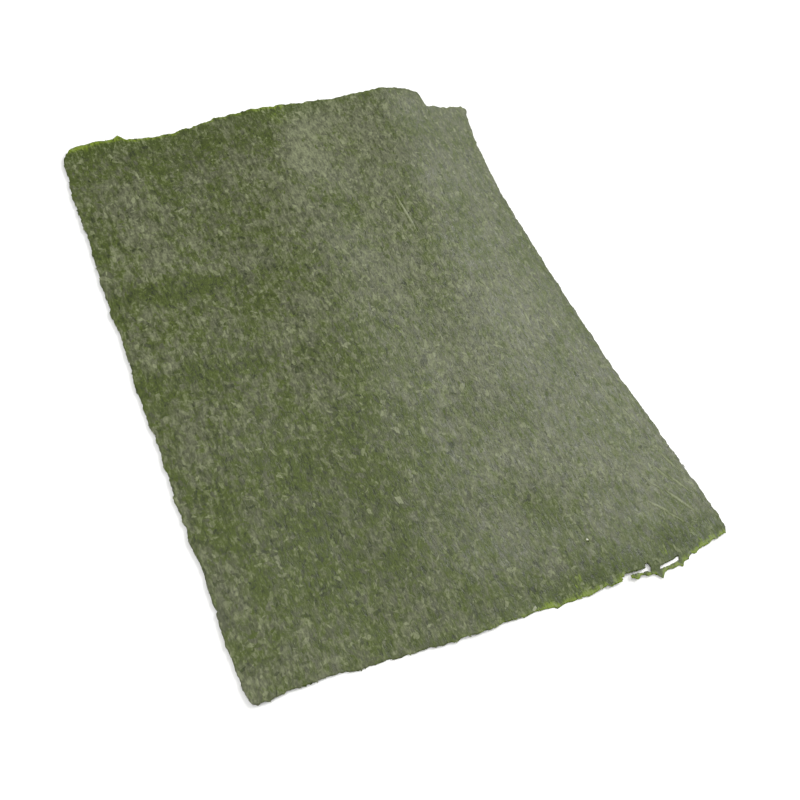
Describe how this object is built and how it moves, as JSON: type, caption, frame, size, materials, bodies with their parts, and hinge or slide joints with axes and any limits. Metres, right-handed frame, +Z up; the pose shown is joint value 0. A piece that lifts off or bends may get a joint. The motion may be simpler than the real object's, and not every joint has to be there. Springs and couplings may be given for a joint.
{
  "type": "nori sheet",
  "caption": "Thin pressed sheet of dried seaweed, arched towards its far edge, with ragged edges, a bitten far corner and small tears.",
  "frame": {"origin": "centre of the sheet's bounding box, at the surface it lies on", "axes": "+X across the sheet towards the side with the bitten far corner and the tears, +Y along its longer edges towards the bitten far edge, +Z up"},
  "size_m": [0.1838, 0.218, 0.0243],
  "materials": {
    "nori": "satin"
  },
  "bodies": {
    "root": {"nori_sheet": "nori"}
  },
  "joints": []
}
